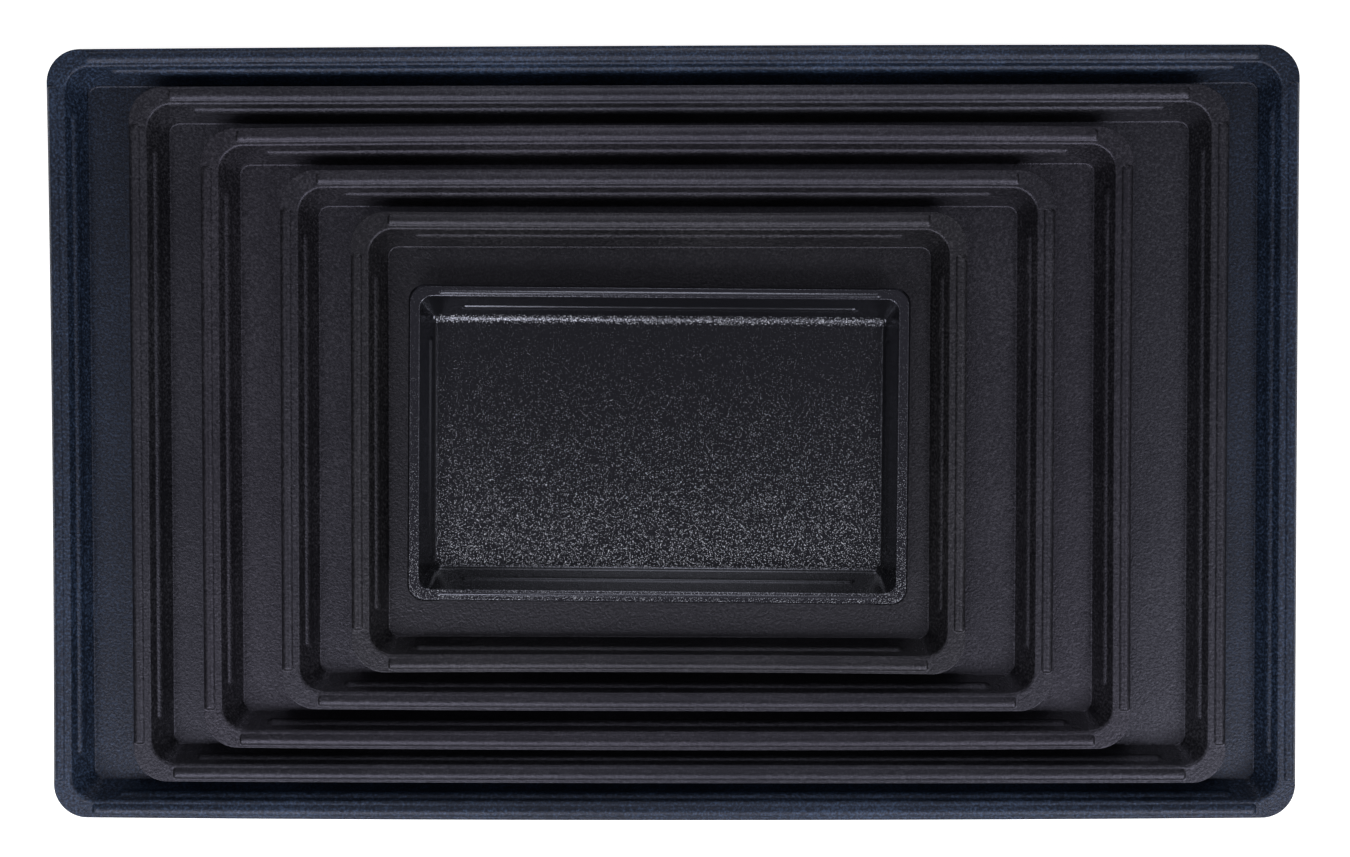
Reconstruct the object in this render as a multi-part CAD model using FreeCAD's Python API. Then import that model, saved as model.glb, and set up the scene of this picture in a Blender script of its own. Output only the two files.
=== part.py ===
import FreeCAD, Part
import math
import os

# A set of six shallow developing trays, kept nested inside one another.
# Each tray is one thermoformed black plastic sheet: flat floor, sloping walls with
# a stiffening rib pressed into each, and a wide flat rim with a pressed bead along
# each side. Millimetres, +Z up, origin under the middle of the largest tray's floor.

os.makedirs("parts", exist_ok=True)
V = FreeCAD.Vector
UP = V(0, 0, 1)

# ---- driving dimensions, common to every tray --------------------------------
SHEET = 2.0            # sheet thickness
DEPTH = 28.0           # floor surface to rim surface
RESTS_UP = SHEET       # each tray's floor rests on the floor of the next larger one

# ---- the five larger trays ---------------------------------------------------
RUN = 14.4             # how far a wall leans outwards over DEPTH
RIM = 16.4             # width of the flat rim
FLOOR_CORNER_R = 10.0  # plan radius of the floor's corner
RIM_CORNER_R = 32.0    # plan radius of the rim's trimmed corner
FLOOR_FILLET = 2.0     # floor to wall, inside
RIM_FILLET = 3.0       # wall to rim, top
BEAD_WIDE = 10.4       # pressed bead on the rim
BEAD_HIGH_LONG = 2.3   # on the two long sides
BEAD_HIGH_SHORT = 3.1  # on the two short sides
BEAD_IN_LONG = 7.9     # bead centre from the rim's trimmed edge, on the two long sides
BEAD_IN_SHORT = 5.8    # the same on the two short sides
RIB_WIDE = 9.6         # rib pressed into the wall, measured up the slope
RIB_HIGH = 1.8
RIB_DOWN_SHORT = 14.2  # rib centre below the rim, down the slope, on the two short walls
RIB_END = 58.0         # rib tip from the tray's end

# name, rim length X, rim width Y, centre x, centre y, how far it lies turned (degrees),
# how far the bead tips of the long and of the short sides stop from the tray's end,
# how far down the slope the ribs of the two long walls lie
TRAYS = [
    ("tray_6_largest", 1185.0, 732.0, 0.0, 0.0, 0.0, 37.3, 34.8, 10.5),
    ("tray_5_second_largest", 1040.0, 661.0, 5.8, -1.1, -0.07, 37.8, 36.0, 12.2),
    ("tray_4", 881.0, 588.0, -5.2, -4.6, -0.08, 33.8, 36.0, 13.8),
    ("tray_3", 731.5, 511.0, -4.6, -6.5, -0.18, 34.4, 36.5, 13.4),
    ("tray_2_second_smallest", 581.5, 437.0, -12.6, -8.5, -0.23, 34.8, 40.5, 13.8),
]

# ---- the smallest tray: narrow rim and wide, soft floor curve ----------------
SMALL_NAME = "tray_1_smallest"
SMALL_LONG, SMALL_WIDE = 474.0, 300.0
SMALL_X, SMALL_Y, SMALL_TURN = -12.7, -10.0, -0.6
SMALL_RIM = 10.9
SMALL_RIM_CORNER_R = 15.5
SMALL_WALL_TOP_R = 12.0    # plan radius where the wall meets the rim
SMALL_FLOOR_CORNER_R = 8.0
SMALL_RUN_ENDS = 15.5      # lean of the two short walls, to the end of the floor curve
SMALL_RUN_SIDES = 24.2     # lean of the two long walls, to the end of the floor curve
SMALL_CURVE_ENDS = 6.0     # radius of the floor curve along the short walls
SMALL_CURVE_SIDES = 10.0   # radius of the floor curve along the long walls
SMALL_LIP, SMALL_LIP_DROP = 2.2, 3.0    # the rim's outer edge is turned down
SMALL_BEAD_WIDE = 3.6
SMALL_BEAD_HIGH = 1.0
SMALL_BEAD_IN = 8.0
SMALL_BEAD_END = 30.0
SMALL_EAR = 0.6            # the rim's corners stand out this much past its long sides
SMALL_RIB_WIDE = 6.0
SMALL_RIB_HIGH = 1.3
SMALL_RIB_END = 49.5
SMALL_RIB_DEEP_SIDES = 14.6   # rib centre below the rim, long walls
SMALL_RIB_DEEP_ENDS = 19.8    # and short walls


def outline(half_x, half_y, r, z):
    """Closed rounded rectangle, drawn anticlockwise."""
    edges = []
    spots = [(1, -1, -90), (1, 1, 0), (-1, 1, 90), (-1, -1, 180)]
    ends = []
    for sx, sy, a in spots:
        cx, cy = sx * (half_x - r), sy * (half_y - r)
        pts = [V(cx + r * math.cos(math.radians(a + d)), cy + r * math.sin(math.radians(a + d)), z) for d in (0, 45, 90)]
        ends.append(pts)
    for i in range(4):
        a, b = ends[i], ends[(i + 1) % 4]
        edges.append(Part.Arc(a[0], a[1], a[2]).toShape())
        edges.append(Part.LineSegment(a[2], b[0]).toShape())
    return Part.Wire(edges)


def rounded_path(points, radii):
    """Edges through 2D points, with a fillet of radii[i] at points[i]."""
    edges, last = [], None
    n = len(points)
    for i in range(n):
        p = V(points[i][0], 0, points[i][1])
        r = radii[i]
        if r and 0 < i < n - 1:
            a = V(points[i - 1][0], 0, points[i - 1][1]) - p
            b = V(points[i + 1][0], 0, points[i + 1][1]) - p
            a.normalize()
            b.normalize()
            half = a.getAngle(b) / 2
            cut = r / math.tan(half)
            p0, p1 = p + a * cut, p + b * cut
            bis = a + b
            bis.normalize()
            mid = p + bis * (r / math.sin(half) - r)
            if (p0 - last).Length > 1e-6:
                edges.append(Part.LineSegment(last, p0).toShape())
            edges.append(Part.Arc(p0, mid, p1).toShape())
            last = p1
        else:
            if last is not None and (p - last).Length > 1e-6:
                edges.append(Part.LineSegment(last, p).toShape())
            last = p
    return edges


def capsule(r, half_length, centre, along):
    """Round bar with ball ends, half_length from its centre to a ball's centre."""
    a = V(along).normalize()
    start = centre - a * half_length
    bar = Part.makeCylinder(r, 2 * half_length, start, a)
    balls = [Part.makeSphere(r, start), Part.makeSphere(r, centre + a * half_length)]
    return bar.multiFuse(balls).removeSplitter()


def segment_radius(wide, high):
    return (wide * wide / 4 + high * high) / (2 * high)


def bead_tools(wide, high, tip_x, centre_y, top):
    """Raised bead and the hollow under it, along X at y = centre_y."""
    r = segment_radius(wide, high)
    half = tip_x - wide / 2
    c = V(0, centre_y, top + high - r)
    over = capsule(r, half, c, V(1, 0, 0))
    low = top - 0.3        # just into the sheet, so that the bead stays inside the trimmed edge
    keep = Part.makeBox(4 * tip_x, 6 * wide, 3 * high + SHEET, V(-2 * tip_x, centre_y - 3 * wide, low))
    return over.common(keep), capsule(r - SHEET, half, c, V(1, 0, 0))


def rib_tools(wide, high, tip_x, foot, wall_up, wall_in, down):
    """Raised rib and the hollow behind it, along X on a sloping wall.
    foot: the top of the wall at x = 0; wall_up and wall_in: unit vectors up the slope and into the tray."""
    r = segment_radius(wide, high)
    half = tip_x - wide / 2
    on_wall = foot - wall_up * down
    c = on_wall + wall_in * (high - r)
    over = capsule(r, half, c, V(1, 0, 0))
    side = wall_in.cross(wall_up)
    corner = on_wall - wall_in * (SHEET / 2) - wall_up * wide - V(2 * tip_x, 0, 0)
    # a block in front of the wall's mid plane
    a, b, d = V(4 * tip_x, 0, 0), wall_up * (2 * wide), wall_in * (3 * high + SHEET)
    face = Part.Face(Part.makePolygon([corner, corner + a, corner + a + b, corner + b, corner]))
    keep = face.extrude(d)
    return over.common(keep), capsule(r - SHEET, half, c, V(1, 0, 0))


def about(shape, degrees):
    s = shape.copy()
    s.rotate(V(0, 0, 0), UP, degrees)
    return s


def large_tray(long, wide, end_long, end_short, rib_long):
    """One of the five larger trays, its floor's underside at z = 0."""
    hx, hy = long / 2, wide / 2                      # rim's trimmed edge
    fx, fy = hx - RIM - RUN, hy - RIM - RUN          # floor edge, before the fillet
    cx, cy = fx - FLOOR_CORNER_R, fy - FLOOR_CORNER_R  # the corner's axis
    lean = math.atan2(RUN, DEPTH)
    tilt = math.pi / 2 - lean                        # wall above the horizontal
    seam = FLOOR_CORNER_R + RUN + 2.6                # where the pressed wall ends and the rim plate starts
    r0, r1 = FLOOR_CORNER_R, FLOOR_CORNER_R + RUN
    back = SHEET / math.cos(lean)                    # the wall's thickness, measured level
    # the sheet's cross-section outwards from the corner's axis: upper face, then lower face
    top = [(0, SHEET), (r0, SHEET), (r1, SHEET + DEPTH), (seam, SHEET + DEPTH)]
    slope = RUN / DEPTH
    low0 = (r0 + back - SHEET * slope, 0.0)
    low1 = (r1 + back - SHEET * slope, DEPTH)
    bottom = [(seam, DEPTH), low1, low0, (0, 0)]
    edges = rounded_path(top, [0, FLOOR_FILLET, RIM_FILLET, 0])
    edges += [Part.LineSegment(V(seam, 0, SHEET + DEPTH), V(seam, 0, DEPTH)).toShape()]
    edges += rounded_path(bottom, [0, RIM_FILLET - SHEET, FLOOR_FILLET + SHEET, 0])
    edges += [Part.LineSegment(V(0, 0, 0), V(0, 0, SHEET)).toShape()]
    section = Part.Face(Part.Wire(Part.__sortEdges__(edges)))
    pieces = []
    for sx, sy, a in [(1, 1, 0), (-1, 1, 90), (-1, -1, 180), (1, -1, 270)]:
        corner = section.revolve(V(0, 0, 0), UP, 90)
        corner = about(corner, a)
        corner.translate(V(sx * cx, sy * cy, 0))
        pieces.append(corner)
    end = section.copy()
    end.translate(V(cx, -cy, 0))
    pieces.append(end.extrude(V(0, 2 * cy, 0)))
    end = about(section, 180)
    end.translate(V(-cx, -cy, 0))
    pieces.append(end.extrude(V(0, 2 * cy, 0)))
    side = about(section, 90)
    side.translate(V(-cx, cy, 0))
    pieces.append(side.extrude(V(2 * cx, 0, 0)))
    side = about(section, 270)
    side.translate(V(-cx, -cy, 0))
    pieces.append(side.extrude(V(2 * cx, 0, 0)))
    plate = Part.makeBox(2 * cx, 2 * cy, SHEET, V(-cx, -cy, 0))
    outer = outline(hx, hy, RIM_CORNER_R, DEPTH)
    inner = outline(cx + seam, cy + seam, seam, DEPTH)
    ring = Part.Face(outer).cut(Part.Face(inner)).extrude(V(0, 0, SHEET))
    body = plate.multiFuse(pieces + [ring]).removeSplitter()

    ups, hollows = [], []
    rim_top = SHEET + DEPTH
    on_long = (end_long, BEAD_IN_LONG, BEAD_HIGH_LONG, rib_long)
    on_short = (end_short, BEAD_IN_SHORT, BEAD_HIGH_SHORT, RIB_DOWN_SHORT)
    for quarter, half_l, half_w, (bead_end, bead_in, bead_high, rib_down) in [
        (0, hx, hy, on_long), (90, hy, hx, on_short), (180, hx, hy, on_long), (270, hy, hx, on_short)
    ]:
        # worked out for the +Y side, then turned
        for u, h in (
            bead_tools(BEAD_WIDE, bead_high, half_l - bead_end, half_w - bead_in, rim_top),
            rib_tools(
                RIB_WIDE, RIB_HIGH, half_l - RIB_END,
                V(0, half_w - RIM, rim_top),
                V(0, math.cos(tilt), math.sin(tilt)),
                V(0, -math.sin(tilt), math.cos(tilt)),
                rib_down,
            ),
        ):
            ups.append(about(u, quarter))
            hollows.append(about(h, quarter))
    body = body.multiFuse(ups)
    for h in hollows:
        body = body.cut(h)
    return body.removeSplitter()


def loft_faces(levels):
    """Skin through rounded rectangles. levels: (half_x, half_y, r, z) from bottom to top."""
    rows = []
    for hx, hy, r, z in levels:
        row = []
        for sx, sy, a in [(1, -1, -90), (1, 1, 0), (-1, 1, 90), (-1, -1, 180)]:
            x, y = sx * (hx - r), sy * (hy - r)
            row.append([V(x + r * math.cos(math.radians(a + d)), y + r * math.sin(math.radians(a + d)), z) for d in (0, 45, 90)])
        rows.append(row)
    faces = []
    for low, high in zip(rows, rows[1:]):
        for i in range(4):
            a, b = low[i], high[i]
            faces.append(Part.makeRuledSurface(Part.Arc(*a).toShape(), Part.Arc(*b).toShape()))
            n, m = low[(i + 1) % 4], high[(i + 1) % 4]
            faces.append(Part.Face(Part.makePolygon([a[2], n[0], m[0], b[2], a[2]])))
    return faces


def skin_solid(levels):
    """Closed solid between the first and last rounded rectangle."""
    faces = loft_faces(levels)
    for hx, hy, r, z in (levels[0], levels[-1]):
        faces.append(Part.Face(outline(hx, hy, r, z)))
    shell = Part.makeShell(faces)
    shell.sewShape()
    solid = Part.makeSolid(shell)
    if solid.Volume < 0:
        solid.reverse()
    return solid


def floor_curve(run, r):
    """Cross-section of the smallest tray's wall as (distance in from the wall's top, height above the floor):
    straight wall, then a curve of radius r that ends on the floor at distance run."""
    # tilt so that straight wall and curve together cover run by DEPTH
    lo, hi = math.radians(20), math.radians(88)
    for _ in range(60):
        a = (lo + hi) / 2
        reach = DEPTH / math.tan(a) + r * math.tan(a / 2)
        if reach > run:
            lo = a
        else:
            hi = a
    a = (lo + hi) / 2
    pts = [(0.0, DEPTH)]
    for k in range(7):
        t = a * (1 - k / 6)          # the curve's slope, from the wall's tilt to level
        pts.append((run - r * math.sin(t), r - r * math.cos(t)))
    return pts, a


def small_tray():
    hx, hy = SMALL_LONG / 2, SMALL_WIDE / 2
    ends, tilt_e = floor_curve(SMALL_RUN_ENDS, SMALL_CURVE_ENDS)
    sides, tilt_s = floor_curve(SMALL_RUN_SIDES, SMALL_CURVE_SIDES)

    def at(profile, z):
        for (u0, z0), (u1, z1) in zip(profile, profile[1:]):
            if z1 <= z <= z0:
                return u0 + (u1 - u0) * (0 if z0 == z1 else (z0 - z) / (z0 - z1))
        return profile[-1][0] if z < profile[-1][1] else profile[0][0]

    heights = sorted({round(z, 4) for _, z in sides})
    wx, wy = hx - SMALL_RIM, hy - SMALL_RIM
    radius = lambda z: SMALL_FLOOR_CORNER_R + (SMALL_WALL_TOP_R - SMALL_FLOOR_CORNER_R) * z / DEPTH
    inside, under = [], []
    for z in heights:
        inside.append((wx - at(ends, z), wy - at(sides, z), radius(z), SHEET + z))
    # the sheet's lower face, one thickness outside the upper one
    def back(profile):
        pts = []
        n = len(profile)
        for i, (u, z) in enumerate(profile):
            a = profile[max(i - 1, 0)]
            b = profile[min(i + 1, n - 1)]
            du, dz = b[0] - a[0], b[1] - a[1]
            length = math.hypot(du, dz)
            nu, nz = dz / length, -du / length      # outwards and down
            if i == n - 1:
                nu, nz = 0.0, -1.0
            pts.append((u + nu * SHEET, z + nz * SHEET))
        return pts
    ends_b, sides_b = back(ends), back(sides)
    lows = sorted({round(z, 4) for _, z in sides_b if z < DEPTH - SHEET - 0.5})
    slope_e = 1 / math.tan(tilt_e)
    slope_s = 1 / math.tan(tilt_s)
    for z in lows:
        under.append((wx - at(ends_b, z), wy - at(sides_b, z), radius(z) + SHEET * 0.7, SHEET + z))
    z = DEPTH - SHEET
    top_e = at(ends_b, lows[-1]) - slope_e * (z - lows[-1])
    top_s = at(sides_b, lows[-1]) - slope_s * (z - lows[-1])
    under.append((wx - top_e, wy - top_s, radius(z) + SHEET * 0.7, SHEET + z))
    hollow_levels = inside + [(wx + 0.0, wy + 0.0, SMALL_WALL_TOP_R, SHEET + DEPTH + 5)]
    outer_solid = skin_solid(under)
    hollow = skin_solid(hollow_levels)
    # rim plate: its corners stand out a little past the long sides
    top = DEPTH + SHEET
    lip = lambda d, z: (hx - d, hy - d, SMALL_RIM_CORNER_R - d, z)
    rim = skin_solid([lip(0.7, top - SMALL_LIP_DROP - 0.6), lip(0, top - SMALL_LIP_DROP), lip(SMALL_LIP, top)])
    rim = rim.cut(skin_solid([lip(SMALL_LIP - 0.1, top - SMALL_LIP_DROP - 0.8), lip(SMALL_LIP + 1.5, DEPTH)]))
    body = outer_solid.fuse(rim)
    for s in (1, -1):
        trim_half = hx - SMALL_BEAD_END
        y0, y1 = hy - SMALL_EAR, hy + 5
        pts = [V(-trim_half - 1.2, s * y1, 0), V(-trim_half - 1.2, s * (hy + 0.1), 0), V(-trim_half, s * y0, 0), V(trim_half, s * y0, 0), V(trim_half + 1.2, s * (hy + 0.1), 0), V(trim_half + 1.2, s * y1, 0)]
        cutter = Part.Face(Part.makePolygon(pts + [pts[0]])).extrude(V(0, 0, DEPTH + 20))
        body = body.cut(cutter)
    body = body.cut(hollow)

    ups, hollows = [], []
    for quarter in (0, 180):
        # this bead is too narrow to show on the sheet's lower face
        u, _ = bead_tools(SMALL_BEAD_WIDE, SMALL_BEAD_HIGH, hx - SMALL_BEAD_END - 0.6, hy - SMALL_BEAD_IN, SHEET + DEPTH)
        ups.append(about(u, quarter))
    for quarter, half_l, half_w, tilt, deep in [
            (0, hx, wy, tilt_s, SMALL_RIB_DEEP_SIDES), (90, hy, wx, tilt_e, SMALL_RIB_DEEP_ENDS),
            (180, hx, wy, tilt_s, SMALL_RIB_DEEP_SIDES), (270, hy, wx, tilt_e, SMALL_RIB_DEEP_ENDS)]:
        u, h = rib_tools(
            SMALL_RIB_WIDE, SMALL_RIB_HIGH, half_l - SMALL_RIB_END,
            V(0, half_w, SHEET + DEPTH),
            V(0, math.cos(tilt), math.sin(tilt)),
            V(0, -math.sin(tilt), math.cos(tilt)),
            deep / math.sin(tilt),
        )
        ups.append(about(u, quarter))
        hollows.append(about(h, quarter))
    body = body.multiFuse(ups)
    for h in hollows:
        body = body.cut(h)
    return body.removeSplitter()


def save(shape, name, x, y, z, turn):
    solid = shape.Solids[0] if len(shape.Solids) == 1 else shape
    solid = about(solid, turn)
    solid.translate(V(x, y, z))
    solid.exportStep("parts/%s.step" % name)
    b = solid.BoundBox
    print("%-24s %s solids %d  volume %.0f mm3  x %.2f %.2f  y %.2f %.2f  z %.2f %.2f" % (
        name, "ok" if solid.isValid() else "NOT VALID", len(shape.Solids), solid.Volume,
        b.XMin, b.XMax, b.YMin, b.YMax, b.ZMin, b.ZMax))


for step, (name, long, wide, x, y, turn, end_long, end_short, rib_long) in enumerate(TRAYS):
    save(large_tray(long, wide, end_long, end_short, rib_long), name, x, y, step * RESTS_UP, turn)
save(small_tray(), SMALL_NAME, SMALL_X, SMALL_Y, len(TRAYS) * RESTS_UP, SMALL_TURN)
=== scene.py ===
import math

import bpy
import numpy as np
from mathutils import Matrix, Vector


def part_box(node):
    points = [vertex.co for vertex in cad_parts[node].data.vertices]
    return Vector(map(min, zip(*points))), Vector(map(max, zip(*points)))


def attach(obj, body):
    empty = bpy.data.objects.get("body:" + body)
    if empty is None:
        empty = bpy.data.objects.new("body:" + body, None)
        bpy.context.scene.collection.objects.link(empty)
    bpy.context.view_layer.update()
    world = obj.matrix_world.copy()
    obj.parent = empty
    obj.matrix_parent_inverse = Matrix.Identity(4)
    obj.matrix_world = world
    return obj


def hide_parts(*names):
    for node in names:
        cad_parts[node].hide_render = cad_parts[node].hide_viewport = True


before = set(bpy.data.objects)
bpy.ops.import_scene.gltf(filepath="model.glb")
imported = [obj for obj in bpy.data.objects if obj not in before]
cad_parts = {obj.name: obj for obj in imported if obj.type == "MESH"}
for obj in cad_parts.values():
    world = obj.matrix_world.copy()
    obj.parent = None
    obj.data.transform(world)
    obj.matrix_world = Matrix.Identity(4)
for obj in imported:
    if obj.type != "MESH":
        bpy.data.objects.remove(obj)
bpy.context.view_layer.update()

MM = 0.001

# ------------------------------------------------------------------ dimensions
# the same numbers as the CAD model, in millimetres
SHEET, DEPTH = 2.0, 28.0
RUN, RIM = 14.4, 16.4
FLOOR_CORNER_R, RIM_CORNER_R = 10.0, 32.0
FLOOR_FILLET, RIM_FILLET = 2.0, 3.0
BEAD = dict(wide=10.4, high=2.3, high_short=3.1, long_in=7.9, short_in=5.8, tip=3.2)
RIB = dict(wide=9.6, high=1.8, down=14.2, end=58.0)

# node, rim length, rim width, turn in degrees, how far the middle of each side of the
# rim stands outwards (W, E, S, N): the sheets relax a little after forming; how far the
# beads of the long and of the short sides end from the rim's outer edge; how far down the
# slope the ribs of the long walls lie
LARGE = [
    ("tray_6_largest", 1185.0, 732.0, 0.0, (-2.0, -0.6, 2.8, 1.3), (37.3, 34.8), 10.5),
    ("tray_5_second_largest", 1040.0, 661.0, -0.07, (0.0, -0.3, 1.2, 0.1), (37.8, 36.0), 12.2),
    ("tray_4", 881.0, 588.0, -0.08, (0.4, -0.8, 2.2, 2.4), (33.8, 36.0), 13.8),
    ("tray_3", 731.5, 511.0, -0.18, (0.3, 0.2, 1.0, 1.0), (34.4, 36.5), 13.4),
    ("tray_2_second_smallest", 581.5, 437.0, -0.23, (0.2, 0.2, -1.6, -1.3), (34.8, 40.5), 13.8),
]
SMALL = dict(
    node="tray_1_smallest", long=474.0, wide=300.0, turn=-0.6, rim=10.9, rim_r=15.5, wall_r=12.0, floor_r=8.0,
    run_e=15.5, run_s=24.2, curve_e=6.0, curve_s=10.0, lip=2.2, lip_drop=3.0,
    bead=dict(wide=3.2, high=1.0, long_in=7.5, short_in=7.5, tip=1.5, end=30.0), ear=0.6,
    rib=dict(wide=6.0, high=1.3, deep_e=19.8, deep_s=14.6, end=49.5),
)
EDGE_R = 0.45          # the trimmed edge of the sheet is slightly rounded


# ------------------------------------------------------------------ geometry
def smax(a, b, k):
    """The larger of a and b, with the corner between them rounded over k."""
    h = np.clip(0.5 + 0.5 * (a - b) / k, 0, 1)
    return b + (a - b) * h + k * h * (1 - h)


def swell(d, wide, high, less=0.0, soft=0.9):
    """Height of a pressed bead at distance d from its line: a round back that runs softly into the sheet.
    less: the sheet's thickness, for the hollow on the other face."""
    r = (wide * wide / 4 + high * high) / (2 * high)
    drop = r - high
    rr = r - less
    lim = rr * 0.9
    dd = np.minimum(d, lim)
    top = np.sqrt(rr * rr - dd * dd) - drop + less
    slope = lim / math.sqrt(rr * rr - lim * lim)
    top = top - np.maximum(d - lim, 0) * slope
    return smax(top, np.zeros_like(top), soft) - smax(np.full_like(top, -99.0), np.zeros_like(top), soft)


def along(step_list, length):
    """Positions along a straight side, from one end to the other, in parts of its half length (-1 to 1)."""
    half = length / 2
    pos = [0.0]
    for span, step in step_list:
        while pos[-1] < span - 1e-6 and pos[-1] + step < half:
            pos.append(pos[-1] + step)
    step = step_list[-1][1]
    while half - pos[-1] > step * 1.2:
        step = min(step * 1.45, 34.0)
        if pos[-1] + step > half - 2:
            break
        pos.append(pos[-1] + step)
    left = [-(half - p) / half for p in pos]
    right = [-v for v in reversed(left)]
    if left[-1] < -1e-6:
        return np.array(left + [0.0] + right)
    return np.array(left[:-1] + [0.0] + right[1:])


# columns round each corner, in degrees: closer together where the beads end
CORNER = np.concatenate([np.arange(1.2, 18.1, 1.2), np.arange(22.5, 68, 4.5), np.arange(72.0, 89.5, 1.2)])


class Loop:
    """The columns of a tray's mesh, anticlockwise round it: four straight sides and four corners."""

    def __init__(self, long, wide, r, steps):
        self.tx, self.ty = along(steps, long - 2 * r), along(steps, wide - 2 * r)
        self.angle = CORNER

    def row(self, hx, hy, r, ze, zs):
        """Points of one row: half sizes, corner radius, height along the ends and along the long sides."""
        x, y, z = [], [], []
        cx, cy = hx - r, hy - r
        for q in range(4):
            a = np.radians(self.angle + 90 * q)
            if q == 0:      # E side, then NE corner
                x.append(np.full_like(self.ty, hx)); y.append(self.ty * cy); z.append(np.full_like(self.ty, ze))
                sx, sy = 1, 1
            elif q == 1:    # N side, then NW corner
                x.append(-self.tx * cx); y.append(np.full_like(self.tx, hy)); z.append(np.full_like(self.tx, zs))
                sx, sy = -1, 1
            elif q == 2:    # W side, then SW corner
                x.append(np.full_like(self.ty, -hx)); y.append(-self.ty * cy); z.append(np.full_like(self.ty, ze))
                sx, sy = -1, -1
            else:           # S side, then SE corner
                x.append(self.tx * cx); y.append(np.full_like(self.tx, -hy)); z.append(np.full_like(self.tx, zs))
                sx, sy = 1, -1
            x.append(sx * cx + r * np.cos(a)); y.append(sy * cy + r * np.sin(a))
            w = np.sin(a) ** 2
            z.append(ze + (zs - ze) * w)
        return np.stack([np.concatenate(x), np.concatenate(y), np.concatenate(z)], 1)


def arc_between(p, a, b, r, n):
    """n + 1 points of a fillet of radius r at p, between directions a and b."""
    p, a, b = np.array(p, float), np.array(a, float), np.array(b, float)
    a, b = a / np.linalg.norm(a), b / np.linalg.norm(b)
    half = math.acos(float(np.clip(a @ b, -1, 1))) / 2
    cut = r / math.tan(half)
    bis = (a + b) / np.linalg.norm(a + b)
    c = p + bis * (r / math.sin(half))
    s, e = p + a * cut - c, p + b * cut - c
    t0, t1 = math.atan2(s[1], s[0]), math.atan2(e[1], e[0])
    d = (t1 - t0 + math.pi) % (2 * math.pi) - math.pi
    return [(c[0] + r * math.cos(t0 + d * k / n), c[1] + r * math.sin(t0 + d * k / n)) for k in range(n + 1)]


def mesh_from_rows(name, rows, place):
    """A closed mesh of rows (from the middle of the floor's upper face, out over the rim, and back below)."""
    n = len(rows[0])
    verts = np.concatenate(rows)
    verts = place(verts) * MM
    faces = []
    j = np.arange(n)
    k = (j + 1) % n
    quads = []
    for i in range(len(rows) - 1):
        quads.append(np.stack([i * n + j, (i + 1) * n + j, (i + 1) * n + k, i * n + k], 1))
    faces = np.concatenate(quads).tolist()
    faces.append(list(range(n)))
    last = (len(rows) - 1) * n
    faces.append([last + i for i in reversed(range(n))])
    me = bpy.data.meshes.new(name)
    me.from_pydata(verts.tolist(), [], faces)
    me.validate()
    me.polygons.foreach_set("use_smooth", [True] * len(me.polygons))
    me.update()
    ob = bpy.data.objects.new(name, me)
    bpy.context.scene.collection.objects.link(ob)
    return ob


def seg(a, half):
    """How far a coordinate lies past the end of a line of that half length."""
    return np.maximum(np.abs(a) - half, 0)


def bead_height(p, hx, hy, b, sides, ends, less=0.0):
    """Height of the rim's beads at plan points p. sides: which of N, S, E, W have one.
    ends: how far those of the long and of the short sides stop from the outer edge."""
    x, y = p[:, 0], p[:, 1]
    top = np.zeros(len(p))
    a = b["wide"] / 2
    soft = 0.7 if less == 0 else 0.5

    def one(t, across, half, high):
        t = np.maximum(np.abs(t) - (half - b["tip"]), 0) * (a / b["tip"])
        d = (t ** 3 + np.abs(across) ** 3) ** (1 / 3)
        return swell(d, b["wide"], high, less, soft)

    for s, on in zip((1, -1), sides[:2]):       # N, S
        if on:
            top = np.maximum(top, one(x, y - s * (hy - b["long_in"]), hx - ends[0], b["high"]))
    for s, on in zip((1, -1), sides[2:]):       # E, W
        if on:
            top = np.maximum(top, one(y, x - s * (hx - b["short_in"]), hy - ends[1], b["high_short"]))
    return top


def bow(v, hx, hy, z0, bows):
    """Moves the rim's mid sides outwards; the floor stays straight."""
    w = np.clip((v[:, 2] - z0) / DEPTH, 0, 1)
    west, east, south, north = bows
    x, y = v[:, 0].copy(), v[:, 1].copy()
    fx, fy = 1 - (x / hx) ** 2, 1 - (y / hy) ** 2
    gy, gx = np.clip(np.abs(y) / hy, 0, 1) ** 6, np.clip(np.abs(x) / hx, 0, 1) ** 6
    v[:, 1] += w * gy * np.clip(fx, 0, 1) * np.where(y > 0, north, -south)
    v[:, 0] += w * gx * np.clip(fy, 0, 1) * np.where(x > 0, east, -west)
    return v


def placer(node, turn):
    lo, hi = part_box(node)
    c = (Vector(lo) + Vector(hi)) / 2 / MM
    z = Vector(lo).z / MM
    a = math.radians(turn)
    rot = np.array([[math.cos(a), math.sin(a)], [-math.sin(a), math.cos(a)]])

    def place(v):
        out = v.copy()
        out[:, :2] = v[:, :2] @ rot + np.array([c.x, c.y])
        out[:, 2] += z
        return out
    return place


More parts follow.
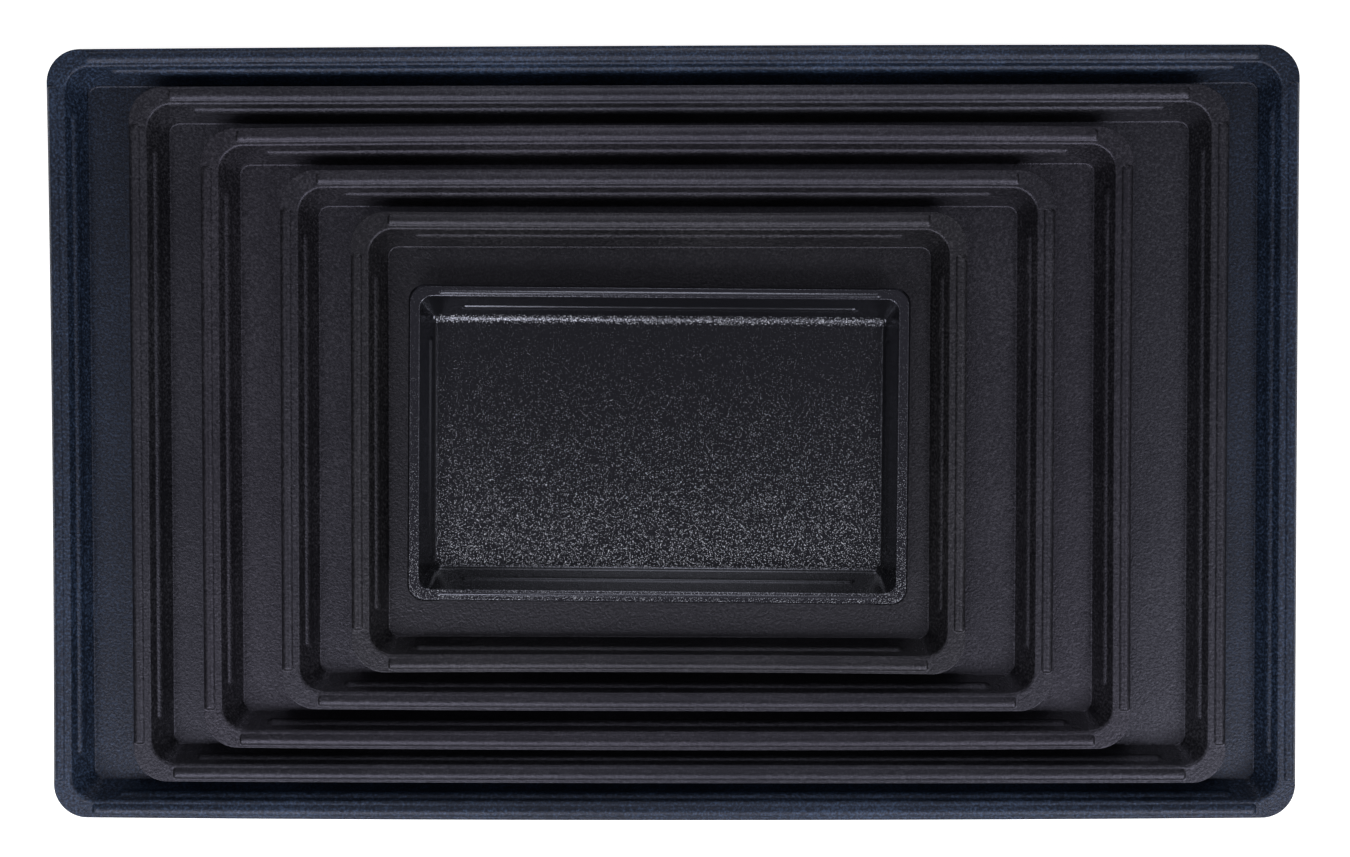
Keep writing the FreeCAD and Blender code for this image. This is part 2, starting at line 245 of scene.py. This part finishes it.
def large_tray(node, long, wide, turn, bows, ends, rib_long):
    hx, hy = long / 2, wide / 2
    fx, fy = hx - RIM - RUN, hy - RIM - RUN
    loop = Loop(long, wide, 40.8, [(13, 0.9), (19, 1.5), (28, 0.9), (34, 2.0)])
    tilt = math.atan2(DEPTH, RUN)
    up = np.array([math.cos(tilt), math.sin(tilt)])           # outwards and up the wall
    seam_u, rim_u = RUN + 2.6, RUN + RIM

    def radius(u):
        if u <= seam_u:
            return max(FLOOR_CORNER_R + u, 0.6)
        return FLOOR_CORNER_R + seam_u + (RIM_CORNER_R - FLOOR_CORNER_R - seam_u) * (u - seam_u) / (rim_u - seam_u)

    rows, tags = [], []

    def add(u, z, kind, s=0.0):
        rows.append(loop.row(fx + u, fy + u, radius(u), SHEET + z, SHEET + z))
        tags.append((kind, s))

    # upper face, from the floor outwards
    add(-9.0, 0, "flat"); add(-5.0, 0, "flat"); add(-2.2, 0, "flat")
    for u, z in arc_between((0, 0), (-1, 0), up, FLOOR_FILLET, 6):
        add(u, z, "flat")
    slope_len = math.hypot(RUN, DEPTH)
    start = FLOOR_FILLET * math.tan(tilt / 2)
    stop = RIM_FILLET * math.tan(tilt / 2)
    rib_lo, rib_hi = max(RIB["down"], rib_long) + RIB["wide"] / 2 + 0.9, min(RIB["down"], rib_long) - RIB["wide"] / 2 - 0.9
    downs = list(np.linspace(slope_len - start, rib_lo, 6)[1:-1]) + list(np.linspace(rib_lo, rib_hi, 23)) + list(np.linspace(rib_hi, stop, 3)[1:-1])
    for s in downs:
        q = np.array([RUN, DEPTH]) - up * s
        add(q[0], q[1], "wall", s)
    for u, z in arc_between((RUN, DEPTH), -up, (1, 0), RIM_FILLET, 7):
        add(u, z, "flat")
    bead_lo, bead_hi = rim_u - BEAD["long_in"] - BEAD["wide"] / 2 - 0.6, rim_u - EDGE_R
    for u in np.linspace(bead_lo, bead_hi, 36):
        add(u, DEPTH, "rim")
    for k in range(1, 4):
        a = math.radians(90 - 30 * k)
        add(rim_u - EDGE_R + EDGE_R * math.cos(a), DEPTH - EDGE_R + EDGE_R * math.sin(a), "flat")
    # lower face, back to the middle
    for k in range(4):
        a = math.radians(-30 * k)
        add(rim_u - EDGE_R + EDGE_R * math.cos(a), DEPTH - SHEET + EDGE_R + EDGE_R * math.sin(a), "flat")
    for u in np.linspace(bead_hi - 1.0, bead_lo, 24):
        add(u, DEPTH - SHEET, "under_rim")
    back = SHEET / math.sin(tilt) - SHEET / math.tan(tilt)    # lower face's corner, outwards of the upper one's
    for u, z in arc_between((RUN + back, DEPTH - SHEET), (1, 0), -up, RIM_FILLET - SHEET, 4):
        add(u, z, "flat")
    for s in list(np.linspace(rib_hi + 0.6, rib_lo - 0.6, 17)) + list(np.linspace(rib_lo, slope_len - start, 4)[1:-1]):
        q = np.array([RUN, DEPTH]) - up * s + np.array([up[1], -up[0]]) * SHEET
        add(q[0], q[1], "under_wall", s)
    for u, z in arc_between((back, -SHEET), up, (-1, 0), FLOOR_FILLET + SHEET, 6):
        add(u, z, "flat")
    add(-5.0, -SHEET, "flat"); add(-9.0, -SHEET, "flat")

    for v, (kind, s) in zip(rows, tags):
        if kind == "rim":
            v[:, 2] += bead_height(v, hx, hy, BEAD, (1, 1, 1, 1), ends)
        elif kind == "under_rim":
            v[:, 2] += bead_height(v, hx, hy, BEAD, (1, 1, 1, 1), ends, SHEET)
        elif kind in ("wall", "under_wall"):
            less = 0.0 if kind == "wall" else SHEET
            for axis, half, down in ((0, hx - RIB["end"] - RIB["wide"] / 2, rib_long), (1, hy - RIB["end"] - RIB["wide"] / 2, RIB["down"])):
                other = 1 - axis
                reach = (fy if other == 1 else fx)
                onside = np.abs(v[:, other]) > reach - 1.0
                d = np.hypot(seg(v[:, axis], half), s - down)
                h = np.where(onside, swell(d, RIB["wide"], RIB["high"], less, 0.8), 0)
                v[:, other] -= np.sign(v[:, other]) * h * up[1]
                v[:, 2] += h * up[0]
        bow(v, hx, hy, SHEET, bows)
    return mesh_from_rows(node + "_sheet", rows, placer(node, turn))


def wall_tilt(run, r):
    """Tilt of a wall that reaches inwards by run over the depth, its curve of radius r at the floor included."""
    lo, hi = math.radians(20), math.radians(88)
    for _ in range(60):
        a = (lo + hi) / 2
        if DEPTH / math.tan(a) + r * math.tan(a / 2) > run:
            lo = a
        else:
            hi = a
    return (lo + hi) / 2


def small_tray():
    S = SMALL
    hx, hy = S["long"] / 2, S["wide"] / 2
    wx, wy = hx - S["rim"], hy - S["rim"]
    te, ts = wall_tilt(S["run_e"], S["curve_e"]), wall_tilt(S["run_s"], S["curve_s"])
    loop = Loop(S["long"], S["wide"], S["rim_r"], [(17, 0.55), (30, 1.6), (40, 0.7), (44, 1.6)])
    R = 1.7      # wall to rim, upper face
    rows, tags = [], []

    def radius(f):
        return S["floor_r"] + (S["wall_r"] - S["floor_r"]) * f

    def add(ue, ze, us, zs, r, kind, se=0.0, ss=0.0):
        # ue, us: how far in from the top of the wall (negative: out onto the rim)
        rows.append(loop.row(wx - ue, wy - us, r, SHEET + ze, SHEET + zs))
        tags.append((kind, se, ss))

    def side(run, r, tilt, less, deep):
        """Points of one wall's section, floor first: curve, wall, upper fillet. less: offset of the lower face."""
        pts = []
        for k in range(13):
            t = tilt * k / 12
            pts.append([run - (r + less) * math.sin(t), r - (r + less) * math.cos(t), -1.0])
        q0 = np.array(pts[-1][:2])
        out = np.array([-math.sin(tilt), -math.cos(tilt)]) * less
        top = np.array([0.0, DEPTH]) + out
        up = np.array([-math.cos(tilt), math.sin(tilt)])
        # straight wall down to the fillet at its top; distances down the slope from the upper face's corner
        s0 = float((top - q0) @ up)
        stop = R * math.tan(tilt / 2)
        c = deep / math.sin(tilt)
        lo_s, hi_s = min(c + S["rib"]["wide"] / 2 + 0.8, s0 - 0.3), c - S["rib"]["wide"] / 2 - 0.8
        ss = [s0 + (lo_s - s0) * f for f in (0.5,)] + list(np.linspace(lo_s, hi_s, 15)) + list(np.linspace(hi_s, stop, 5)[1:-1])
        for s in ss:
            q = top - up * s
            pts.append([q[0], q[1], s])
        return pts, up, stop

    deep_e, deep_s = S["rib"]["deep_e"], S["rib"]["deep_s"]
    pe, up_e, _ = side(S["run_e"], S["curve_e"], te, 0.0, deep_e)
    ps, up_s, _ = side(S["run_s"], S["curve_s"], ts, 0.0, deep_s)
    for d in (7.0, 4.0, 1.5):
        add(S["run_e"] + d, 0, S["run_s"] + d, 0, max(radius(0) - d, 0.8), "flat")
    for a, b in zip(pe, ps):
        f = 0.5 * (a[1] + b[1]) / DEPTH
        add(a[0], a[1], b[0], b[1], radius(f), "wall" if a[2] >= 0 else "flat", a[2], b[2])
    fe = arc_between((0, DEPTH), -up_e, (-1, 0), R, 5)
    fs = arc_between((0, DEPTH), -up_s, (-1, 0), R, 5)
    for a, b in zip(fe, fs):
        add(a[0], a[1], b[0], b[1], radius(1) - 0.5 * (a[0] + b[0]), "flat")
    rim_r = lambda u: S["wall_r"] + (S["rim_r"] - S["wall_r"]) * max(u, 0) / S["rim"]
    mid = S["rim"] - S["bead"]["long_in"]
    for u in list(np.linspace(mid - 1.9, mid + 2.6, 22)) + [mid + 3.6, mid + 4.5]:
        add(-u, DEPTH, -u, DEPTH, rim_r(u), "rim")
    # the outer edge is turned down
    lean = math.atan2(S["lip_drop"], S["lip"])
    turned = arc_between((-(S["rim"] - S["lip"]), DEPTH), (1, 0), (-math.cos(lean), -math.sin(lean)), 0.7, 5)
    turned += [(-(S["rim"] - 1.0), DEPTH - 1.2 * math.tan(lean)), (-(S["rim"] - 0.1), DEPTH - 2.1 * math.tan(lean))]
    turned += [(-S["rim"], DEPTH - 3.15), (-(S["rim"] - 0.25), DEPTH - 3.45), (-(S["rim"] - 0.8), DEPTH - 3.58), (-(S["rim"] - 1.4), DEPTH - 3.5), (-(S["rim"] - 1.8), DEPTH - 3.2), (-(S["rim"] - 3.6), DEPTH - SHEET - 0.1)]
    for a, z in turned:
        add(a, z, a, z, rim_r(-a), "edge")
    for u in (6.4, 5.0, 3.6):
        add(-u, DEPTH - SHEET, -u, DEPTH - SHEET, rim_r(u), "flat")
    qe, _, _ = side(S["run_e"], S["curve_e"], te, SHEET, deep_e)
    qs, _, _ = side(S["run_s"], S["curve_s"], ts, SHEET, deep_s)
    ce = SHEET * (1 - math.cos(te)) / math.sin(te)
    cs = SHEET * (1 - math.cos(ts)) / math.sin(ts)
    add(-ce - 0.3, DEPTH - SHEET, -cs - 0.3, DEPTH - SHEET, S["wall_r"] + 1.4, "flat")
    add(-ce + 0.1, DEPTH - SHEET - 0.25, -cs + 0.1, DEPTH - SHEET - 0.25, S["wall_r"] + 1.3, "flat")
    for a, b in zip(reversed(qe), reversed(qs)):
        if a[1] > DEPTH - SHEET - 0.6 or b[1] > DEPTH - SHEET - 0.6:
            continue
        f = 0.5 * (a[1] + b[1]) / DEPTH
        add(a[0], a[1], b[0], b[1], radius(f) + 1.3, "under_wall" if a[2] >= 0 else "flat", a[2], b[2])
    for d in (4.0, 7.0):
        add(S["run_e"] + d, -SHEET, S["run_s"] + d, -SHEET, max(radius(0) - d, 0.8), "flat")

    b = S["bead"]
    for v, (kind, se, ss) in zip(rows, tags):
        # the trimmed long sides lie inside the corners by the ear
        if kind in ("rim", "edge"):
            u = np.abs(v[:, 1]) - wy
            near = np.clip((u - (S["rim"] - 2.5)) / 2.5, 0, 1)
            on = np.clip((hx - b["end"] + 0.6 - np.abs(v[:, 0])) / 1.2, 0, 1)
            on = on * on * (3 - 2 * on)
            side_on = (u > 0) & (np.abs(v[:, 0]) < hx - S["rim_r"] + 0.5)
            v[:, 1] -= np.sign(v[:, 1]) * S["ear"] * near * on * side_on
        if kind == "rim":
            v[:, 2] += bead_height(v, hx, hy, b, (1, 1, 0, 0), (b["end"], 0))
        elif kind in ("wall", "under_wall"):
            less = 0.0 if kind == "wall" else SHEET
            g = S["rib"]
            for axis, half, tilt, s, deep in ((0, hx - g["end"] - g["wide"] / 2, ts, ss, deep_s), (1, hy - g["end"] - g["wide"] / 2, te, se, deep_e)):
                other = 1 - axis
                d = np.hypot(seg(v[:, axis], half), s - deep / math.sin(tilt))
                reach = (wy if other == 1 else wx) - 27
                onside = (np.abs(v[:, other]) > reach) & (np.abs(v[:, axis]) < half + 9)
                h = np.where(onside, swell(d, g["wide"], g["high"], less, 0.5), 0)
                v[:, other] -= np.sign(v[:, other]) * h * math.sin(tilt)
                v[:, 2] += h * math.cos(tilt)
    return mesh_from_rows(S["node"] + "_sheet", rows, placer(S["node"], S["turn"]))


# ------------------------------------------------------------------ materials
class Nodes:
    def __init__(self, name):
        self.m = bpy.data.materials.new(name)
        self.m.use_nodes = True
        self.t = self.m.node_tree
        self.t.nodes.clear()
        self.out = self.t.nodes.new("ShaderNodeOutputMaterial")
        self.bsdf = self.t.nodes.new("ShaderNodeBsdfPrincipled")
        self.t.links.new(self.bsdf.outputs[0], self.out.inputs[0])

    def new(self, kind, **kw):
        n = self.t.nodes.new(kind)
        for k, v in kw.items():
            if hasattr(n, k):
                setattr(n, k, v)
        return n

    def link(self, a, b):
        self.t.links.new(a, b)

    def coords(self, shift):
        c = self.new("ShaderNodeTexCoord")
        m = self.new("ShaderNodeMapping")
        m.inputs["Location"].default_value = shift
        self.link(c.outputs["Object"], m.inputs["Vector"])
        return m.outputs["Vector"]

    def noise(self, vec, scale, detail=2.0, rough=0.5, distort=0.0):
        n = self.new("ShaderNodeTexNoise")
        n.inputs["Scale"].default_value = scale
        n.inputs["Detail"].default_value = detail
        n.inputs["Roughness"].default_value = rough
        n.inputs["Distortion"].default_value = distort
        self.link(vec, n.inputs["Vector"])
        return n.outputs["Fac"]

    def voronoi(self, vec, scale, feature="SMOOTH_F1", rand=1.0, smooth=0.6):
        n = self.new("ShaderNodeTexVoronoi")
        n.feature = feature
        n.inputs["Scale"].default_value = scale
        n.inputs["Randomness"].default_value = rand
        if "Smoothness" in n.inputs and feature == "SMOOTH_F1":
            n.inputs["Smoothness"].default_value = smooth
        self.link(vec, n.inputs["Vector"])
        return n.outputs["Distance"]

    def math(self, op, a, b):
        n = self.new("ShaderNodeMath", operation=op)
        for i, v in enumerate((a, b)):
            if isinstance(v, (int, float)):
                n.inputs[i].default_value = v
            else:
                self.link(v, n.inputs[i])
        return n.outputs[0]

    def ramp(self, fac, stops):
        n = self.new("ShaderNodeValToRGB")
        cr = n.color_ramp
        while len(cr.elements) > 1:
            cr.elements.remove(cr.elements[-1])
        cr.elements[0].position, cr.elements[0].color = stops[0]
        for p, c in stops[1:]:
            e = cr.elements.new(p)
            e.color = c
        self.link(fac, n.inputs[0])
        return n.outputs["Color"]

    def map_range(self, v, a, b, c, d):
        n = self.new("ShaderNodeMapRange")
        for i, x in zip((1, 2, 3, 4), (a, b, c, d)):
            n.inputs[i].default_value = x
        self.link(v, n.inputs[0])
        return n.outputs[0]

    def bump(self, height, distance, strength=1.0, normal=None):
        n = self.new("ShaderNodeBump")
        n.inputs["Distance"].default_value = distance
        n.inputs["Strength"].default_value = strength
        self.link(height, n.inputs["Height"])
        if normal is not None:
            self.link(normal, n.inputs["Normal"])
        return n.outputs["Normal"]


def fine_grain(name, shift, dark, light, tint, level, rough, grain, floor_z, floor_shade):
    """Black formed sheet with a fine leather grain. The last argument scales the floor's tone against the wall's and
    rim's: painted shade on the floor.
    """
    k = Nodes(name)
    vec = k.coords(shift)
    patches = k.noise(vec, 7.0, 3.0, 0.55)
    specks = k.noise(vec, 430.0, 2.0, 0.6)
    tone = k.math("ADD", k.math("MULTIPLY", patches, 0.25), k.math("MULTIPLY", specks, 0.75))
    pale = tuple(4.2 * c for c in light)
    tone = k.ramp(tone, [(0.36, (*(0.4 * c for c in dark), 1)), (0.50, (*light, 1)), (0.66, (*pale, 1))])
    # painted shade: the floor's colour is made darker than the wall's and rim's
    if floor_shade < 1:
        place = k.new("ShaderNodeSeparateXYZ")
        k.link(k.coords((0, 0, 0)), place.inputs[0])
        share = k.map_range(place.outputs["Z"], floor_z + 0.0003, floor_z + 0.003, floor_shade, 1.0)
        scale = k.new("ShaderNodeVectorMath", operation="SCALE")
        k.link(tone, scale.inputs[0])
        k.link(share, scale.inputs["Scale"])
        tone = scale.outputs[0]
    k.link(tone, k.bsdf.inputs["Base Color"])
    worn = k.math("ADD", k.math("MULTIPLY", k.noise(vec, 18.0, 4.0, 0.62), 0.6), k.math("MULTIPLY", specks, 0.4))
    k.link(k.map_range(worn, 0.3, 0.7, rough - 0.045, rough + 0.045), k.bsdf.inputs["Roughness"])
    cells = k.voronoi(vec, 470.0, "SMOOTH_F1", 1.0, 0.45)
    wrinkles = k.noise(vec, 300.0, 3.0, 0.6, 0.6)
    fine = k.noise(vec, 1100.0, 2.0, 0.6)
    height = k.math("ADD", k.math("MULTIPLY", cells, -0.55), k.math("ADD", k.math("MULTIPLY", wrinkles, 1.0), k.math("MULTIPLY", fine, 0.4)))
    k.link(k.bump(height, grain), k.bsdf.inputs["Normal"])
    k.bsdf.inputs["IOR"].default_value = 1.5
    k.bsdf.inputs["Specular IOR Level"].default_value = level
    k.bsdf.inputs["Specular Tint"].default_value = (*tint, 1)
    return k.m


def pebble(name, shift, floor_z, depth):
    """Black formed sheet with a coarse, shinier pebble grain, deep on the floor and drawn smooth on wall and rim;
    glints, light on the flat faces and shade on the walls are painted into its colour and gloss.
    """
    k = Nodes(name)
    vec = k.coords(shift)
    place = k.new("ShaderNodeSeparateXYZ")
    k.link(k.coords((0, 0, 0)), place.inputs[0])
    up = place.outputs["Z"]
    # 1 on the floor, 0 on the wall; the flat rim keeps a little of the grain
    on_floor = k.map_range(up, floor_z + 0.0003, floor_z + 0.0012, 1.0, 0.0)
    # the curve at the foot of the north wall faces the light and keeps the grain too, and the dense painted glints of
    # the south part
    turned = k.math("ADD", place.outputs["Y"], k.math("MULTIPLY", place.outputs["X"], 0.01047))
    foot = k.math("MULTIPLY", k.map_range(turned, 0.1040, 0.1050, 0.0, 1.0), k.map_range(up, floor_z + 0.0032, floor_z + 0.0052, 1.0, 0.0))
    on_floor = k.math("MAXIMUM", on_floor, foot)
    on_rim = k.map_range(up, floor_z + depth - 0.0012, floor_z + depth - 0.0002, 0.0, 1.0)
    off_bead = k.map_range(up, floor_z + depth + 0.0001, floor_z + depth + 0.0006, 1.0, 0.0)
    share = k.math("MAXIMUM", on_floor, k.math("MULTIPLY", k.math("MULTIPLY", on_rim, off_bead), 0.55))
    share = k.math("ADD", k.math("MULTIPLY", share, 0.94), 0.06)
    # painted glints: bright specks in the base colour at the grain's tips, single on the north part of the floor,
    # close together on the south part towards the light
    glint_cells = k.voronoi(vec, 840.0, "F1", 1.0)
    glint_clumps = k.noise(vec, 70.0, 3.0, 0.6)
    south = k.map_range(place.outputs["Y"], 0.095, -0.135, 0.0, 1.0)
    south = k.math("MAXIMUM", south, k.math("MULTIPLY", foot, 0.9))
    reach = k.math("ADD", k.math("MULTIPLY", south, 0.36), k.math("ADD", k.math("MULTIPLY", glint_clumps, 0.26), 0.09))
    tip = k.math("MULTIPLY", k.map_range(k.math("SUBTRACT", k.math("MULTIPLY", reach, k.noise(vec, 420.0, 1.0, 0.5)), glint_cells), -0.02, 0.09, 0.0, 1.0), share)
    base = k.ramp(tip, [(0.0, (0.0056, 0.0057, 0.0072, 1)), (1.0, (0.700, 0.715, 0.800, 1))])
    # painted light: the base colour of the rim, and less that of the floor, is lifted above the walls'
    painted_flat_light = k.ramp(k.math("MAXIMUM", on_rim, k.math("MULTIPLY", on_floor, 0.42)), [(0.0, (0.0, 0.0, 0.0, 1)), (1.0, (0.0112, 0.0106, 0.0150, 1))])
    both = k.new("ShaderNodeVectorMath", operation="ADD")
    k.link(base, both.inputs[0])
    k.link(painted_flat_light, both.inputs[1])
    k.link(both.outputs[0], k.bsdf.inputs["Base Color"])
    k.link(k.map_range(k.noise(vec, 90.0, 2.0, 0.6), 0.3, 0.7, 0.16, 0.21), k.bsdf.inputs["Roughness"])
    lumps = k.noise(vec, 520.0, 1.0, 0.5, 0.2)
    cells = k.voronoi(vec, 420.0, "SMOOTH_F1", 1.0, 0.3)
    fine = k.noise(vec, 900.0, 1.0, 0.6)
    height = k.math("ADD", k.math("MULTIPLY", cells, -0.45), k.math("ADD", k.math("MULTIPLY", lumps, 0.8), k.math("MULTIPLY", fine, 0.25)))
    k.link(k.bump(k.math("MULTIPLY", height, share), 0.00042), k.bsdf.inputs["Normal"])
    k.bsdf.inputs["IOR"].default_value = 1.5
    # painted shade and highlight: the reflection is made weaker on the walls, most on the south half, and stronger on
    # the north walls
    off_floor = k.math("MULTIPLY", k.map_range(up, floor_z + 0.0004, floor_z + 0.0016, 0.0, 1.0), k.map_range(up, floor_z + depth - 0.0016, floor_z + depth - 0.0002, 1.0, 0.0))
    painted_reflection = k.math("MULTIPLY", off_floor, k.map_range(place.outputs["Y"], -0.125, 0.085, 0.58, -0.30))
    # and weakest on the curve at the foot of the short walls: painted shade that hides their highlight
    out = k.new("ShaderNodeMath", operation="ABSOLUTE")
    k.link(k.math("ADD", place.outputs["X"], 0.0127), out.inputs[0])
    at_end = k.math("MULTIPLY", k.map_range(out.outputs[0], 0.2075, 0.2105, 0.0, 1.0), k.map_range(up, floor_z + 0.0025, floor_z + 0.0045, 1.0, 0.0))
    painted_reflection = k.math("MAXIMUM", painted_reflection, k.math("MULTIPLY", k.math("MULTIPLY", at_end, k.map_range(up, floor_z + 0.0001, floor_z + 0.0003, 0.0, 1.0)), 0.62))
    k.link(k.math("SUBTRACT", 0.95, painted_reflection), k.bsdf.inputs["Specular IOR Level"])
    k.bsdf.inputs["Specular Tint"].default_value = (0.80, 0.82, 1.0, 1)
    return k.m


# ------------------------------------------------------------------ pieces
# dark and light tone, tint of the gloss, strength of the gloss: the largest sheet is the bluest
FINISH = [
    ((0.0060, 0.0110, 0.0230), (0.0090, 0.0150, 0.0290), (0.76, 0.78, 1.0), 0.52),
    ((0.0054, 0.0054, 0.0070), (0.0082, 0.0082, 0.0100), (0.76, 0.75, 1.0), 0.65),
    ((0.0056, 0.0053, 0.0070), (0.0084, 0.0080, 0.0100), (0.78, 0.75, 1.0), 0.65),
    ((0.0056, 0.0053, 0.0068), (0.0084, 0.0080, 0.0098), (0.78, 0.76, 1.0), 0.65),
    ((0.0058, 0.0056, 0.0064), (0.0086, 0.0083, 0.0094), (0.82, 0.80, 1.0), 0.62),
]
for i, (node, long, wide, turn, bows, ends, rib_long) in enumerate(LARGE):
    ob = large_tray(node, long, wide, turn, bows, ends, rib_long)
    dark, light, tint, level = FINISH[i]
    # the last value paints shade on the floors of the largest and the second smallest tray
    ob.data.materials.append(fine_grain("black_fine_grain_%d" % (6 - i), (0.31 * i, 0.17 * i, 0.7 * i), dark, light, tint, level, 0.42, 0.00034,
                                       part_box(node)[0][2] + SHEET * MM, (0.6, 1.0, 1.0, 1.0, 0.62)[i]))
    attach(ob, node)
    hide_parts(node)

ob = small_tray()
ob.data.materials.append(pebble("black_pebble_gloss", (0.5, 0.4, 0.9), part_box(SMALL["node"])[0][2] + SHEET * MM, DEPTH * MM))
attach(ob, SMALL["node"])
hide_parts(SMALL["node"])

# ------------------------------------------------------------------ floor
me = bpy.data.meshes.new("floor")
s = 6.0
me.from_pydata([(-s, -s, -0.0006), (s, -s, -0.0006), (s, s, -0.0006), (-s, s, -0.0006)], [], [(0, 1, 2, 3)])
floor = bpy.data.objects.new("floor", me)
bpy.context.scene.collection.objects.link(floor)
k = Nodes("pale_floor")
v = k.coords((0, 0, 0))
k.link(k.ramp(k.noise(v, 2.0, 2.0, 0.5), [(0.3, (0.79, 0.79, 0.79, 1)), (0.7, (0.81, 0.81, 0.81, 1))]), k.bsdf.inputs["Base Color"])
k.bsdf.inputs["Roughness"].default_value = 0.9
k.bsdf.inputs["Emission Color"].default_value = (1, 1, 1, 1)       # lit from below, like a white sweep
k.bsdf.inputs["Emission Strength"].default_value = 0.8
floor.data.materials.append(k.m)

# ------------------------------------------------------------------ light
world = bpy.data.worlds.new("studio")
bpy.context.scene.world = world
world.use_nodes = True
bg = world.node_tree.nodes["Background"]
bg.inputs[0].default_value = (1, 1, 1, 1)
bg.inputs[1].default_value = 0.07


def area(name, at, size, watts):
    d = bpy.data.lights.new(name, "AREA")
    d.shape = "DISK"
    d.size = size
    d.energy = watts
    o = bpy.data.objects.new(name, d)
    bpy.context.scene.collection.objects.link(o)
    o.location = at
    o.rotation_mode = "QUATERNION"
    o.rotation_quaternion = (-Vector(at)).to_track_quat("-Z", "Y")
    return o


def polar(azimuth, elevation, distance):
    """A place seen from the origin: azimuth 0 is south, 90 east."""
    a, e = math.radians(azimuth), math.radians(elevation)
    return (distance * math.sin(a) * math.cos(e), -distance * math.cos(a) * math.cos(e), distance * math.sin(e))


# a wide soft bank from the south, a low one from the north, and weak ones round about
for azimuth, elevation, size, watts in (
    (45, 36, 0.9, 29), (22, 36, 0.9, 12), (-22, 36, 0.9, 11.5), (-45, 36, 0.9, 17),
    (-22, 52, 0.9, 21), (45, 52, 0.9, 6.5), (90, 52, 0.9, 5.5), (-90, 52, 0.9, 5), (90, 16, 0.9, 1.6),
    (180, 10, 0.9, 7.0), (180, 20, 1.1, 6.0), (180, 52, 0.9, 7.8),
):
    area("soft_%d_%d" % (azimuth % 360, elevation), polar(azimuth, elevation, 3.2), size, watts)

# ------------------------------------------------------------------ camera
cam = bpy.data.cameras.new("camera")
cam.sensor_fit = "HORIZONTAL"
cam.sensor_width = 36.0
cam.lens = 1750.0 / 1350.0 * 36.0
cam.clip_start, cam.clip_end = 0.05, 50
co = bpy.data.objects.new("camera", cam)
bpy.context.scene.collection.objects.link(co)
co.location = (0.0187, 0.0455, 1.6909)
co.rotation_euler = (math.radians(-1.384), math.radians(0.533), math.radians(-0.115))
bpy.context.scene.camera = co
bpy.context.scene.view_settings.view_transform = "Standard"
